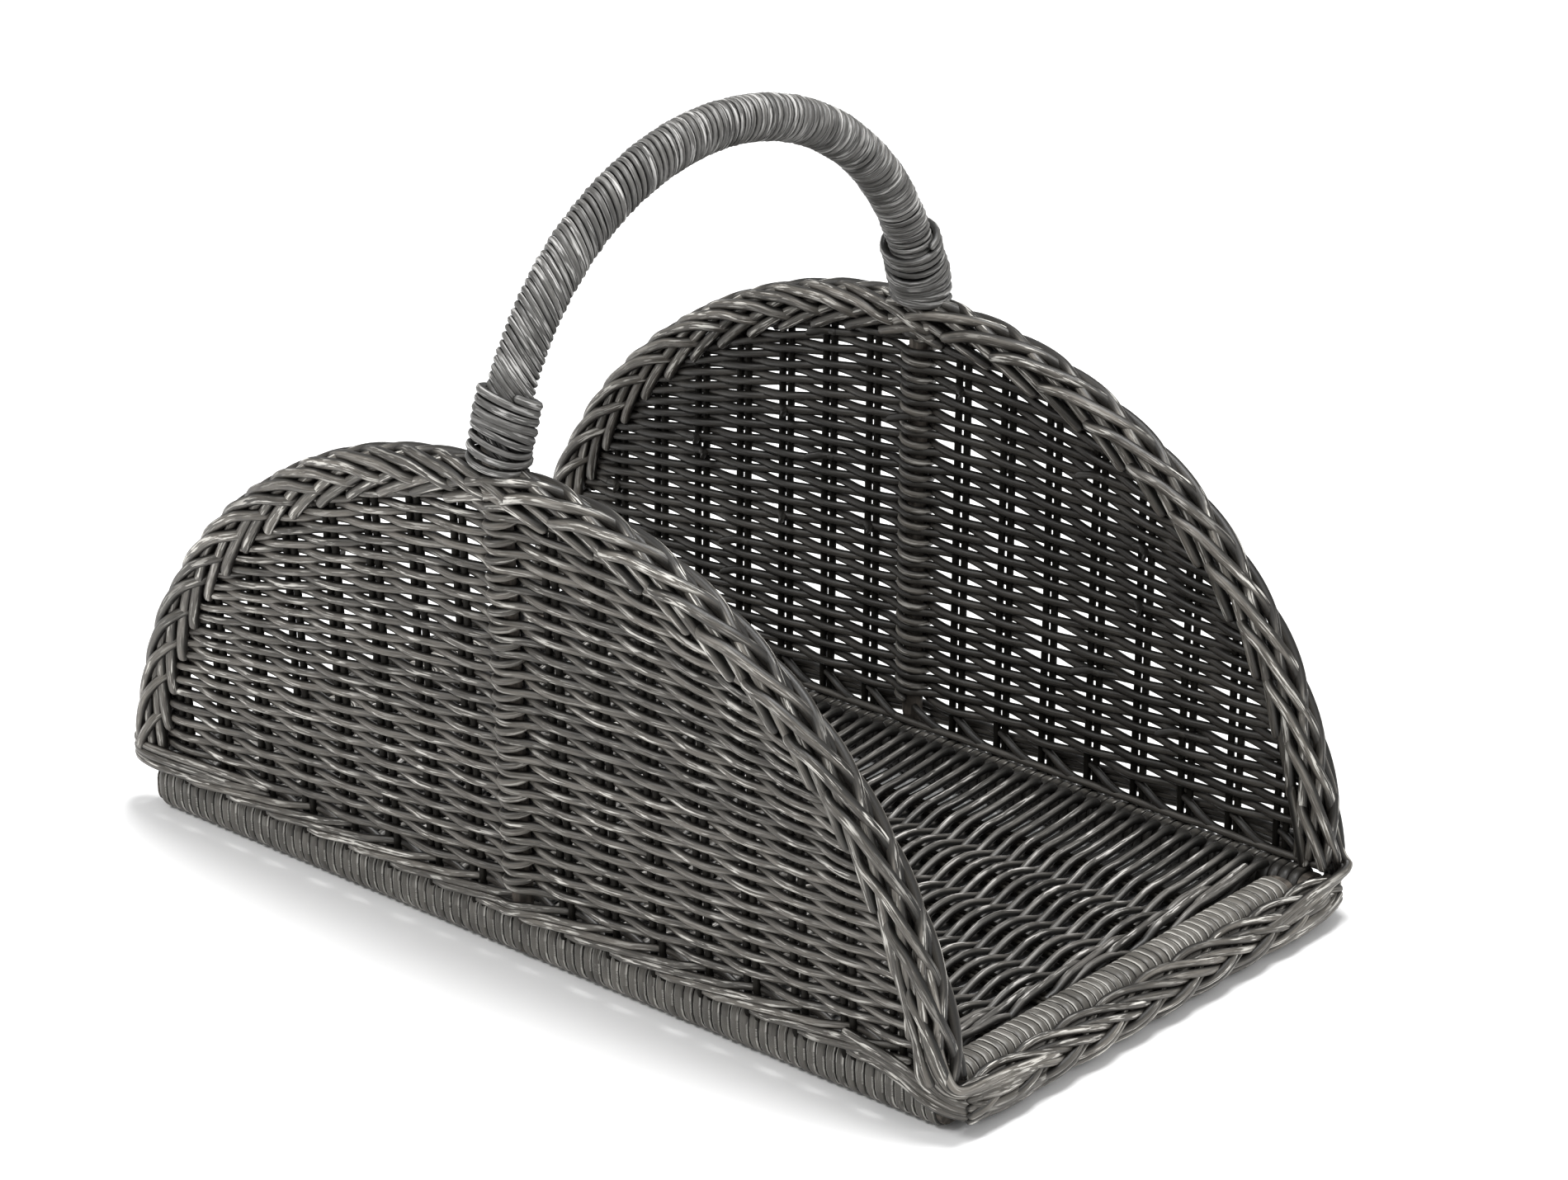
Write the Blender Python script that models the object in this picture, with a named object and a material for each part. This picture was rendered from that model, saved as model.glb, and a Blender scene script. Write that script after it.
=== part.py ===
"""Wicker log basket: a wrapped wooden base frame, a woven floor, two arched woven side panels with
plaited borders, a plait along each open end, and one bent handle bound into both panels.

Metres, +Z up.  +X runs along the basket, the near panel is at -Y and the far panel at +Y, and the
origin is on the ground under the middle of the basket.
"""

import math

import bmesh
import bpy
from mathutils import Matrix, Vector

MM = 0.001

# ---- driving dimensions -------------------------------------------------------------------------
BASE_LENGTH = 588 * MM        # end to end of the long rails
BASE_WIDTH = 332 * MM         # outer face to outer face of the long rails
RAIL_WIDTH = 25 * MM          # a wrapped rail, across
RAIL_HEIGHT = 27 * MM         # a wrapped rail, up
CANE = 1.2 * MM               # thickness of the cane wrapped round a rail
GAP = 0.3 * MM                # clearance between neighbouring pieces

ROD = 4.3 * MM                # a woven willow rod
STAKE_ROD = 4.0 * MM          # an upright stake rod
PAIR_WIDTH = 10.4 * MM        # two stake rods side by side
PAIR_PITCH = 33.2 * MM        # from one pair of stakes to the next
PAIRS_PER_SIDE = 8            # pairs on each side of the handle leg
PANEL_LEAN = 7 * MM           # how far the top of a panel leans outwards
WALE_HEIGHT = 15 * MM         # band of heavier weaving at the foot of a panel

ARCH_LENGTH_HALF = 294 * MM   # half axes of the border's centre line
ARCH_HEIGHT = 277 * MM
BORDER_WIDTH = 26 * MM        # border, measured in the plane of the panel
BORDER_DEPTH = 21 * MM        # border, through the panel

EDGE_PLAIT = 21.4 * MM        # diameter of the plait along an open end
EDGE_PLAIT_HEIGHT = 17 * MM   # height of its centre line

FLOOR_GROUPS = 5              # groups of lengthwise floor stakes
FLOOR_PITCH = 46 * MM
FLOOR_GROUP_WIDTH = 12.6 * MM
FLOOR_STAKE = 3.8 * MM
FLOOR_LEVEL = 18.2 * MM       # height of the floor stakes' centre line

HANDLE_HALF_SPAN = 172.8 * MM  # half axis of the handle's curve, across the basket
HANDLE_SPRING = 271.7 * MM     # height at which that curve springs
HANDLE_RISE = 159 * MM
HANDLE_ROD = 18.6 * MM         # the bare handle rod
HANDLE_THICKNESS = 26.4 * MM   # over its wrap
LEG_ROD = 12 * MM              # the handle rod where it runs down inside a panel
LEG_FOOT_WIDTH = 13 * MM       # its foot, flattened to the stakes' thickness
COLLAR_THICKNESS = 35.6 * MM
COLLAR_TOP = 32 * MM           # top of a collar above the border

# ---- worked out from them -----------------------------------------------------------------------
CORE_WIDTH = RAIL_WIDTH - 2 * (CANE + GAP)
CORE_HEIGHT = RAIL_HEIGHT - 2 * (CANE + GAP)
CORE_OUTER_Y = BASE_WIDTH / 2 - CANE - GAP
END_RAIL_X = (BASE_LENGTH - RAIL_WIDTH) / 2
END_RAIL_HALF = BASE_WIDTH / 2 - RAIL_WIDTH - GAP
STAKE_Y = CORE_OUTER_Y - GAP - STAKE_ROD / 2
STAKE_FOOT = 4.3 * MM
GROOVE_DEPTH = STAKE_ROD + 2 * GAP
WEAVE_HALF = STAKE_ROD / 2 + ROD
WALE_HALF = WEAVE_HALF + 0.9 * MM
POST_HALF = LEG_ROD / 2 + ROD
PANEL_FOOT = RAIL_HEIGHT + GAP
WALE_TOP = PANEL_FOOT + WALE_HEIGHT
BORDER_FOOT = RAIL_HEIGHT + 1.4 * MM
ARCH_TOP = ARCH_HEIGHT + BORDER_WIDTH / 2
INNER_OFFSET = -(BORDER_WIDTH / 2 + 1.0 * MM)
EDGE_PLAIT_X = BASE_LENGTH / 2 + GAP + EDGE_PLAIT / 2
SIDES = {"near": -1, "far": 1}
ENDS = {"back": -1, "front": 1}

ROUND = 12                    # sides of a round section
ARCH_STEPS = 24               # straight pieces along a border
HANDLE_STEPS = 18             # straight pieces along the handle's curve
COLLAR_STATIONS = 4           # stations of the handle's line that a collar covers
WILLOW_GREY = (0.075, 0.068, 0.062)
WRAP_GREY = (0.095, 0.088, 0.082)
HANDLE_GREY = (0.13, 0.13, 0.13)
BARE_WOOD = (0.42, 0.29, 0.17)


# ---- helpers ------------------------------------------------------------------------------------
def material(name, colour, roughness):
    """A plain wood finish."""
    finish = bpy.data.materials.new(name)
    finish.use_nodes = True
    shader = finish.node_tree.nodes["Principled BSDF"]
    shader.inputs["Base Color"].default_value = (*colour, 1.0)
    shader.inputs["Roughness"].default_value = roughness
    shader.inputs["Metallic"].default_value = 0.0
    return finish


def add_object(name, bm, colour, roughness=0.7):
    """Turn a bmesh into a named object with its own material."""
    bmesh.ops.recalc_face_normals(bm, faces=bm.faces)
    mesh = bpy.data.meshes.new(name)
    bm.to_mesh(mesh)
    bm.free()
    mesh.shade_smooth()
    mesh.set_sharp_from_angle(angle=math.radians(40))
    piece = bpy.data.objects.new(name, mesh)
    bpy.context.scene.collection.objects.link(piece)
    mesh.materials.append(material(name, colour, roughness))
    return piece


def cut(piece, bm, operation="DIFFERENCE"):
    """Cut a piece with a bmesh, or keep only what the two share."""
    bmesh.ops.recalc_face_normals(bm, faces=bm.faces)
    mesh = bpy.data.meshes.new(piece.name + "_cutter")
    bm.to_mesh(mesh)
    bm.free()
    cutter = bpy.data.objects.new(mesh.name, mesh)
    bpy.context.scene.collection.objects.link(cutter)
    cutter.hide_render = True
    cutter.display_type = "WIRE"
    modifier = piece.modifiers.new("cut", "BOOLEAN")
    modifier.operation = operation
    modifier.solver = "EXACT"
    modifier.object = cutter
    return modifier


def add_box(bm, low, high):
    """A box between two corners."""
    low, high = Vector(low), Vector(high)
    place = Matrix.Translation((low + high) / 2) @ Matrix.Diagonal((*(high - low), 1.0))
    return bmesh.ops.create_cube(bm, size=1.0, matrix=place)["verts"]


def box(low, high):
    bm = bmesh.new()
    add_box(bm, low, high)
    return bm


def loft(bm, rings, closed=False):
    """Join equal rings of points by quads; an open run gets flat ends."""
    loops = [[bm.verts.new(point) for point in ring] for ring in rings]
    count = len(loops[0])
    pairs = list(zip(loops, loops[1:]))
    if closed:
        pairs.append((loops[-1], loops[0]))
    for first, second in pairs:
        for i in range(count):
            j = (i + 1) % count
            bm.faces.new((first[i], first[j], second[j], second[i]))
    if not closed:
        bm.faces.new(loops[0])
        bm.faces.new(loops[-1])


def oval(half_wide, half_deep, count=ROUND):
    """Points of an ellipse, as (across, through)."""
    turns = [2 * math.pi * i / count for i in range(count)]
    return [(half_wide * math.cos(turn), half_deep * math.sin(turn)) for turn in turns]


def stadium(half_length, half_width, steps=2):
    """Outline of rods lying side by side, as (along, across)."""
    points = []
    for end, start in ((1, -math.pi / 2), (-1, math.pi / 2)):
        for i in range(steps + 1):
            turn = start + math.pi * i / steps
            along = end * (half_length - half_width) + half_width * math.cos(turn)
            points.append((along, half_width * math.sin(turn)))
    return points


def panel_y(z):
    """Distance of a panel's middle plane from the basket's middle: upright in the rail, then leaning."""
    return STAKE_Y + PANEL_LEAN * max(0.0, z - RAIL_HEIGHT) / (ARCH_TOP - RAIL_HEIGHT)


def arch_point(angle, offset=0.0):
    """A point of the arch, moved outwards by offset, with its outward normal, both as (x, z)."""
    x, z = ARCH_LENGTH_HALF * math.cos(angle), ARCH_HEIGHT * math.sin(angle)
    normal = Vector((x / ARCH_LENGTH_HALF ** 2, z / ARCH_HEIGHT ** 2)).normalized()
    return Vector((x, z)) + normal * offset, normal


def arch_angle(z, offset=0.0):
    """The angle at which the arch stands at height z, found by halving."""
    low, high = -0.2, math.pi / 2
    for _ in range(40):
        middle = (low + high) / 2
        if arch_point(middle, offset)[0].y < z:
            low = middle
        else:
            high = middle
    return low


def arch_angles(foot, offset=0.0):
    """Angles along the arch, from height foot on one side to height foot on the other."""
    first = arch_angle(foot, offset)
    return [first + (math.pi - 2 * first) * i / ARCH_STEPS for i in range(ARCH_STEPS + 1)]


def arch_height(x, offset):
    """Height of the arch over a place along the basket."""
    low, high = 0.0, math.pi / 2
    for _ in range(40):
        middle = (low + high) / 2
        if arch_point(middle, offset)[0].x > abs(x):
            low = middle
        else:
            high = middle
    return arch_point(low, offset)[0].y


def lean(bm, side):
    """Move a panel piece built about y = 0 out to its leaning plane."""
    for vert in bm.verts:
        vert.co.y = side * panel_y(vert.co.z) + vert.co.y


def pair_places():
    """Places of the stake pairs along a panel, from the back to the front."""
    places = [PAIR_PITCH * k for k in range(-PAIRS_PER_SIDE, PAIRS_PER_SIDE + 1)]
    return [x for x in places if abs(x) > PAIR_PITCH / 2]


def floor_places():
    return [FLOOR_PITCH * (k - (FLOOR_GROUPS - 1) / 2) for k in range(FLOOR_GROUPS)]


# ---- base frame ---------------------------------------------------------------------------------
def long_rail(label, side):
    """A long rail: a bar with housings for the stakes, the handle leg and the end rails."""
    inner = side * (CORE_OUTER_Y - CORE_WIDTH)
    outer = side * CORE_OUTER_Y
    low = CANE + GAP
    bar = box((-BASE_LENGTH / 2, min(inner, outer), low),
              (BASE_LENGTH / 2, max(inner, outer), low + CORE_HEIGHT))
    rail = add_object(f"{label}_long_rail", bar, BARE_WOOD)
    housings = bmesh.new()
    add_housings(housings, side, CORE_OUTER_Y + 1 * MM, STAKE_FOOT - GAP)
    cut(rail, housings)
    return rail


def add_housings(bm, side, outer, foot):
    """Upright housings for the stake pairs and the handle's foot, and mortises for the end rails."""
    inner = CORE_OUTER_Y - GROOVE_DEPTH
    for x in pair_places() + [0.0]:
        half = (PAIR_WIDTH if x else LEG_FOOT_WIDTH) / 2 + GAP
        add_box(bm, (x - half, min(side * inner, side * outer), foot),
                (x + half, max(side * inner, side * outer), RAIL_HEIGHT + 1 * MM))
    for end in ENDS.values():
        add_tenon(bm, end, side, GAP)


def add_tenon(bm, end, side, clearance):
    """The tongue of an end rail, or with a clearance its mortise in the long rail."""
    half_x, half_z, reach = 6 * MM + clearance, 7 * MM + clearance, 12 * MM + clearance
    start = side * (END_RAIL_HALF - 1 * MM)
    stop = side * (END_RAIL_HALF + reach)
    x, z = end * END_RAIL_X, RAIL_HEIGHT / 2
    add_box(bm, (x - half_x, min(start, stop), z - half_z), (x + half_x, max(start, stop), z + half_z))


def end_rail(label, end):
    """An end rail, with a tongue at each end and holes for the floor stakes."""
    low = CANE + GAP
    x = end * END_RAIL_X
    bar = box((x - CORE_WIDTH / 2, -END_RAIL_HALF, low),
              (x + CORE_WIDTH / 2, END_RAIL_HALF, low + CORE_HEIGHT))
    rail = add_object(f"{label}_end_rail", bar, BARE_WOOD)
    for side in SIDES.values():
        tongue = bmesh.new()
        add_tenon(tongue, end, side, 0.0)
        cut(rail, tongue, "UNION")
    cut(rail, floor_holes(end))
    return rail


def floor_holes(end):
    """Holes in an end rail and its wrap where the floor stakes go in."""
    bm = bmesh.new()
    start = end * (END_RAIL_X - RAIL_WIDTH / 2 - 1 * MM)
    stop = end * (floor_stake_end() + GAP)
    outline = stadium(FLOOR_GROUP_WIDTH / 2 + GAP, FLOOR_STAKE / 2 + GAP)
    for y in floor_places():
        loft(bm, [[(x, y + a, FLOOR_LEVEL + b) for a, b in outline] for x in (start, stop)])
    return bm


def floor_stake_end():
    return BASE_LENGTH / 2 - RAIL_WIDTH + 11 * MM


def sleeve(low, high, axis):
    """A square tube of cane thickness, open at both ends along an axis (0 for X, 1 for Y)."""
    low, high = Vector(low), Vector(high)
    across = 1 - axis
    rings = []
    for inset in (0.0, CANE):
        corners = [(low[across] + inset, low.z + inset), (high[across] - inset, low.z + inset),
                   (high[across] - inset, high.z - inset), (low[across] + inset, high.z - inset)]
        for along in ((low[axis], high[axis]) if inset == 0.0 else (high[axis], low[axis])):
            ring = []
            for side_way, up in corners:
                point = Vector((0, 0, up))
                point[axis], point[across] = along, side_way
                ring.append(point)
            rings.append(ring)
    bm = bmesh.new()
    loft(bm, rings, closed=True)
    return bm


def long_wrap(label, side):
    """The cane round a long rail, with openings for the stakes and the end rails' tongues."""
    inner = side * (BASE_WIDTH / 2 - RAIL_WIDTH)
    outer = side * BASE_WIDTH / 2
    tube = sleeve((-BASE_LENGTH / 2, min(inner, outer), 0),
                  (BASE_LENGTH / 2, max(inner, outer), RAIL_HEIGHT), 0)
    wrap = add_object(f"{label}_rail_wrap", tube, WRAP_GREY)
    slots = bmesh.new()
    add_housings(slots, side, CORE_OUTER_Y + 0.1 * MM, RAIL_HEIGHT - CANE - GAP)
    cut(wrap, slots)
    return wrap


def end_wrap(label, end):
    """The cane round an end rail."""
    x = end * END_RAIL_X
    tube = sleeve((x - RAIL_WIDTH / 2, -END_RAIL_HALF, 0),
                  (x + RAIL_WIDTH / 2, END_RAIL_HALF, RAIL_HEIGHT), 1)
    wrap = add_object(f"{label}_rail_wrap", tube, WRAP_GREY)
    cut(wrap, floor_holes(end))
    return wrap


# ---- floor --------------------------------------------------------------------------------------
def floor_weave():
    """The woven floor between the rails, with a channel for each group of stakes."""
    half_x = END_RAIL_X - RAIL_WIDTH / 2 - GAP
    half_y = END_RAIL_HALF
    half_z = FLOOR_STAKE / 2 + ROD
    slab = add_object("floor_weave", box((-half_x, -half_y, FLOOR_LEVEL - half_z),
                                         (half_x, half_y, FLOOR_LEVEL + half_z)), WILLOW_GREY)
    channels = bmesh.new()
    outline = stadium(FLOOR_GROUP_WIDTH / 2 + GAP, FLOOR_STAKE / 2 + GAP)
    for y in floor_places():
        loft(channels, [[(x, y + a, FLOOR_LEVEL + b) for a, b in outline]
                        for x in (-half_x - 1 * MM, half_x + 1 * MM)])
    cut(slab, channels)
    return slab


def floor_stakes(number, y):
    """One group of lengthwise rods, from end rail to end rail."""
    bm = bmesh.new()
    outline = stadium(FLOOR_GROUP_WIDTH / 2, FLOOR_STAKE / 2)
    reach = floor_stake_end()
    loft(bm, [[(x, y + a, FLOOR_LEVEL + b) for a, b in outline] for x in (-reach, reach)])
    return add_object(f"floor_stakes_{number}", bm, WILLOW_GREY)


# ---- side panels --------------------------------------------------------------------------------
def panel_slab(name, side, half_thick, foot, top, length):
    """A slab of weaving with a bulge round the handle leg and channels for the stakes.

    A slab as long as the arch is cropped to the arch's inner edge."""
    bm = bmesh.new()
    bulge = [(POST_HALF * math.cos(a), POST_HALF * math.sin(a))
             for a in (math.pi * i / 12 for i in range(13)) if POST_HALF * math.sin(a) > half_thick]
    outline = [(-length, -half_thick)] + [(-x, -y) for x, y in bulge] + [(length, -half_thick)]
    outline += [(length, half_thick)] + bulge + [(-length, half_thick)]
    loft(bm, [[(x, y, z) for x, y in outline] for z in (foot, top)])
    slab = add_object(name, bm, WILLOW_GREY)
    if length >= ARCH_LENGTH_HALF:
        profile = [tuple(arch_point(angle, INNER_OFFSET)[0]) for angle in arch_angles(foot, INNER_OFFSET)]
        below = foot - 1 * MM
        profile = [(profile[0][0], below)] + profile + [(profile[-1][0], below)]
        prism = bmesh.new()
        loft(prism, [[(x, y, z) for x, z in profile] for y in (-POST_HALF * 2, POST_HALF * 2)])
        cut(slab, prism, "INTERSECT")
    channels = bmesh.new()
    pair = stadium(PAIR_WIDTH / 2 + GAP, STAKE_ROD / 2 + GAP)
    for x in pair_places():
        loft(channels, [[(x + a, b, z) for a, b in pair] for z in (foot - 1 * MM, top + 1 * MM)])
    leg = oval(LEG_ROD / 2 + 2 * GAP, LEG_ROD / 2 + 2 * GAP)
    loft(channels, [[(a, b, z) for a, b in leg] for z in (foot - 1 * MM, top + 1 * MM)])
    cut(slab, channels)
    return bake(slab, side)


def bake(piece, side):
    """Apply a piece's cuts, remove their cutters and lean the result out to its panel."""
    evaluated = piece.evaluated_get(bpy.context.evaluated_depsgraph_get())
    bm = bmesh.new()
    bm.from_mesh(evaluated.to_mesh())
    evaluated.to_mesh_clear()
    cutters = [modifier.object for modifier in piece.modifiers]
    piece.modifiers.clear()
    for cutter in cutters:
        bpy.data.objects.remove(cutter)
    lean(bm, side)
    bm.to_mesh(piece.data)
    bm.free()
    return piece


def foot_wale(label, side):
    """The heavier band at a panel's foot, on top of the rail."""
    length = arch_point(arch_angle(WALE_TOP, INNER_OFFSET), INNER_OFFSET)[0].x
    return panel_slab(f"{label}_foot_wale", side, WALE_HALF, PANEL_FOOT, WALE_TOP, length)


def panel_weave(label, side):
    """The woven field of a panel, under its arch."""
    name = f"{label}_panel_weave"
    return panel_slab(name, side, WEAVE_HALF, WALE_TOP + GAP, ARCH_TOP, ARCH_LENGTH_HALF)


def stake_pair(label, side, number, x):
    """Two upright rods side by side, from their housing in the rail up to the border."""
    outline = stadium(PAIR_WIDTH / 2, STAKE_ROD / 2)
    top = arch_height(abs(x) + PAIR_WIDTH / 2, INNER_OFFSET)
    bm = bmesh.new()
    loft(bm, [[(x + a, b, z) for a, b in outline] for z in (STAKE_FOOT, RAIL_HEIGHT, top)])
    lean(bm, side)
    return add_object(f"{label}_stakes_{number:02d}", bm, WILLOW_GREY)


def border(label, side):
    """The plaited border over a panel, bored for the handle leg."""
    section = oval(BORDER_WIDTH / 2, BORDER_DEPTH / 2)
    rings = []
    for angle in arch_angles(BORDER_FOOT):
        centre, normal = arch_point(angle)
        rings.append([(centre.x + normal.x * a, b, centre.y + normal.y * a) for a, b in section])
    for ring in (rings[0], rings[-1]):
        ring[:] = [(x, y, BORDER_FOOT) for x, y, z in ring]
    bm = bmesh.new()
    loft(bm, rings)
    piece = add_object(f"{label}_border", bm, WILLOW_GREY)
    bore = bmesh.new()
    leg = oval(LEG_ROD / 2 + 2 * GAP, LEG_ROD / 2 + 2 * GAP)
    loft(bore, [[(a, b, ARCH_HEIGHT + c) for a, b in leg] for c in (-BORDER_WIDTH, BORDER_WIDTH)])
    cut(piece, bore)
    return bake(piece, side)


# ---- open ends ----------------------------------------------------------------------------------
def edge_plait(label, end):
    """The plait along an open end, outside the end rail."""
    half = BASE_WIDTH / 2
    section = oval(EDGE_PLAIT / 2, EDGE_PLAIT / 2)
    x = end * EDGE_PLAIT_X
    bm = bmesh.new()
    rings = []
    for y, size in ((-half, 0.7), (-half + 8 * MM, 1.0), (half - 8 * MM, 1.0), (half, 0.7)):
        rings.append([(x + a * size, y, EDGE_PLAIT_HEIGHT + b * size) for a, b in section])
    loft(bm, rings)
    return add_object(f"{label}_edge_plait", bm, WILLOW_GREY)


# ---- handle -------------------------------------------------------------------------------------
def handle_line():
    """The handle's centre line from just above one border to the other, as (y, z) points.

    It leaves the border in line with the leg, and then follows half an ellipse."""
    leg = [(panel_y(z), z) for z in (ARCH_TOP + GAP, ARCH_TOP + GAP + 1 * MM)]
    leg += [handle_point(handle_angle(ARCH_TOP + COLLAR_TOP * part)) for part in (0.35, 0.68)]
    first = handle_angle(ARCH_TOP + COLLAR_TOP)
    spread = math.pi - 2 * first
    curve = [handle_point(first + spread * i / HANDLE_STEPS) for i in range(HANDLE_STEPS + 1)]
    return leg + curve + [(-y, z) for y, z in reversed(leg)]


def handle_angle(z):
    return math.asin((z - HANDLE_SPRING) / HANDLE_RISE)


def handle_point(angle):
    return HANDLE_HALF_SPAN * math.cos(angle), HANDLE_SPRING + HANDLE_RISE * math.sin(angle)


def ring_at(line, index, radius):
    """A round section standing square to the handle's centre line."""
    before = line[max(0, index - 1)]
    after = line[min(len(line) - 1, index + 1)]
    run = Vector((0, after[0] - before[0], after[1] - before[1])).normalized()
    normal = Vector((1, 0, 0)).cross(run)
    centre = Vector((0, *line[index]))
    return [centre + Vector((a, 0, 0)) + normal * b for a, b in oval(radius, radius)]


def handle_rod():
    """The bent handle rod: thick over the basket, shaved down to pass through border and panel,
    and flattened at each foot where it is housed in the rail."""
    line = handle_line()
    rings = []
    tenon = oval(LEG_FOOT_WIDTH / 2, STAKE_ROD / 2)
    leg = oval(LEG_ROD / 2, LEG_ROD / 2)
    stations = ((STAKE_FOOT, tenon), (RAIL_HEIGHT, tenon), (RAIL_HEIGHT + 7 * MM, leg),
                (ARCH_TOP - BORDER_WIDTH / 2, leg))
    for z, section in stations:
        rings.append([Vector((a, panel_y(z) - b, z)) for a, b in section])
    rings.append(ring_at(line, 0, LEG_ROD / 2))
    rings += [ring_at(line, i, HANDLE_ROD / 2) for i in range(1, len(line) - 1)]
    rings.append(ring_at(line, len(line) - 1, LEG_ROD / 2))
    for z, section in reversed(stations):
        rings.append([Vector((a, -panel_y(z) + b, z)) for a, b in section])
    bm = bmesh.new()
    loft(bm, rings)
    return add_object("handle_rod", bm, BARE_WOOD)


def ring_sleeve(name, indices, inner, outer, colour):
    """A sleeve round the handle, from one station of its centre line to another."""
    line = handle_line()
    rings = [ring_at(line, i, outer) for i in indices]
    rings += [ring_at(line, i, inner) for i in reversed(indices)]
    bm = bmesh.new()
    loft(bm, rings, closed=True)
    return add_object(name, bm, colour)


def handle_wrap():
    """The rod wound round the handle from border to border."""
    last = len(handle_line()) - 2
    return ring_sleeve("handle_wrap", list(range(1, last + 1)), HANDLE_ROD / 2 + GAP,
                       HANDLE_THICKNESS / 2, HANDLE_GREY)


def collar(label, side):
    """The turns of rod that bind the handle's wrap just above a border."""
    stations = list(range(1, 1 + COLLAR_STATIONS))
    if side < 0:
        last = len(handle_line()) - 1
        stations = [last - i for i in reversed(stations)]
    return ring_sleeve(f"{label}_collar", stations, HANDLE_THICKNESS / 2 + GAP,
                       COLLAR_THICKNESS / 2, HANDLE_GREY)


# ---- assembly -----------------------------------------------------------------------------------
def build():
    for existing in list(bpy.data.objects):
        bpy.data.objects.remove(existing)
    for label, side in SIDES.items():
        long_rail(label, side)
        long_wrap(label, side)
        foot_wale(label, side)
        panel_weave(label, side)
        for number, x in enumerate(pair_places(), start=1):
            stake_pair(label, side, number, x)
        border(label, side)
        collar(label, side)
    for label, end in ENDS.items():
        end_rail(label, end)
        end_wrap(label, end)
        edge_plait(label, end)
    floor_weave()
    for number, y in enumerate(floor_places(), start=1):
        floor_stakes(number, y)
    handle_rod()
    handle_wrap()


build()
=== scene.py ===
"""A wicker log basket: its willow, cane and wood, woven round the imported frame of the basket."""

import math
import random

import bpy
from mathutils import Matrix, Vector, noise


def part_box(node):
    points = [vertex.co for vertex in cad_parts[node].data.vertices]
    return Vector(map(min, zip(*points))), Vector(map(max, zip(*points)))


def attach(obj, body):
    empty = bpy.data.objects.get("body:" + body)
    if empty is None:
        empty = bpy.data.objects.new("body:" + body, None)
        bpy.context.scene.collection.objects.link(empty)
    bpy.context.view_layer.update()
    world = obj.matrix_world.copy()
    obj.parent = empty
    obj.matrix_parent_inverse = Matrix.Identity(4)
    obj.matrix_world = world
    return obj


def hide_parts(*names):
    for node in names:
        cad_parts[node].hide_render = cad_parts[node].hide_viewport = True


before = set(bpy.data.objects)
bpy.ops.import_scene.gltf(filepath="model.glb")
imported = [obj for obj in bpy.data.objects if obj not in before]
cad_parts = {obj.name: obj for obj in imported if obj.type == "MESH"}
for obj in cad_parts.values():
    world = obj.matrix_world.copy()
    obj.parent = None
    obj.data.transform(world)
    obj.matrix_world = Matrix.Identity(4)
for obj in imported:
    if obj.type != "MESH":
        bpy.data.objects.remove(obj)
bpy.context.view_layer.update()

MM = 0.001
TURN = 2 * math.pi

# ---- sizes read from the frame ------------------------------------------------------------------
rail_low, rail_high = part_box("near_rail_wrap")
end_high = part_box("front_rail_wrap")[1]
stake_low, stake_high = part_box("near_stakes_08")
border_low, border_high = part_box("near_border")
plait_low, plait_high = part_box("front_edge_plait")
floor_low, floor_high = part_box("floor_stakes_1")
grip_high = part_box("handle_wrap")[1]
collar_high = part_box("near_collar")[1]

SIDES = {"near": -1, "far": 1}
ENDS = {"back": -1, "front": 1}
PAIRS = [sum(corner.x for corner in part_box(f"near_stakes_{n:02d}")) / 2 for n in range(1, 17)]
PAIR_PITCH = PAIRS[1] - PAIRS[0]
FLOOR_GROUPS = [sum(corner.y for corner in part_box(f"floor_stakes_{n}")) / 2 for n in range(1, 6)]
FLOOR_PITCH = FLOOR_GROUPS[1] - FLOOR_GROUPS[0]
FLOOR_LEVEL = (floor_low.z + floor_high.z) / 2

HALF_LENGTH = rail_high.x
HALF_WIDTH = -rail_low.y
RAIL_TOP = rail_high.z
RAIL_WIDTH = rail_high.y - rail_low.y
STAKE_ROD = 4.4 * MM
STAKE_HALF = 2.0 * MM         # half the depth of a stake in the plain solid
FOOT_Y = STAKE_HALF - stake_high.y
LEAN = (-stake_low.y - STAKE_HALF - FOOT_Y) / (stake_high.z - RAIL_TOP)

BORDER_WIDTH = 26 * MM
BORDER_THICK = 6.3 * MM
BORDER_PITCH = {-1: 27 * MM, 1: 36 * MM}   # from one border rod to the next, on each limb
BORDER_TURN = 37 * MM         # the length that a border rod's shape is given in
ARCH_TOP = border_high.z
ARCH_HEIGHT = ARCH_TOP - BORDER_WIDTH / 2
ARCH_HALF = HALF_LENGTH
BORDER_FOOT = border_low.z

GRIP = 26.4 * MM
HANDLE_SPRING = 271.7 * MM
HANDLE_SPAN = grip_high.y - GRIP / 2
HANDLE_RISE = grip_high.z - GRIP / 2 - HANDLE_SPRING
COLLAR_HEIGHT = collar_high.z - ARCH_TOP
WRAP_ROD, WRAP_PITCH = 4.15 * MM, 4.25 * MM
COLLAR_ROD, COLLAR_TURNS = 4.8 * MM, 8.1

ROD = 5.0 * MM
ROW_PITCH = 4.95 * MM
FIRST_ROW = 44.6 * MM
ROW_ARCH = 1.05               # how strongly the upper rows arch, per metre
ROW_RISE = 0.222              # height above the first row at which they arch fully
LEG = 12 * MM
# A rod's proudness also sets its stain: the less proud, the darker it is painted, as shade.
PROUD = 0.97                  # how proud a rod stands that nothing lies over


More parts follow.
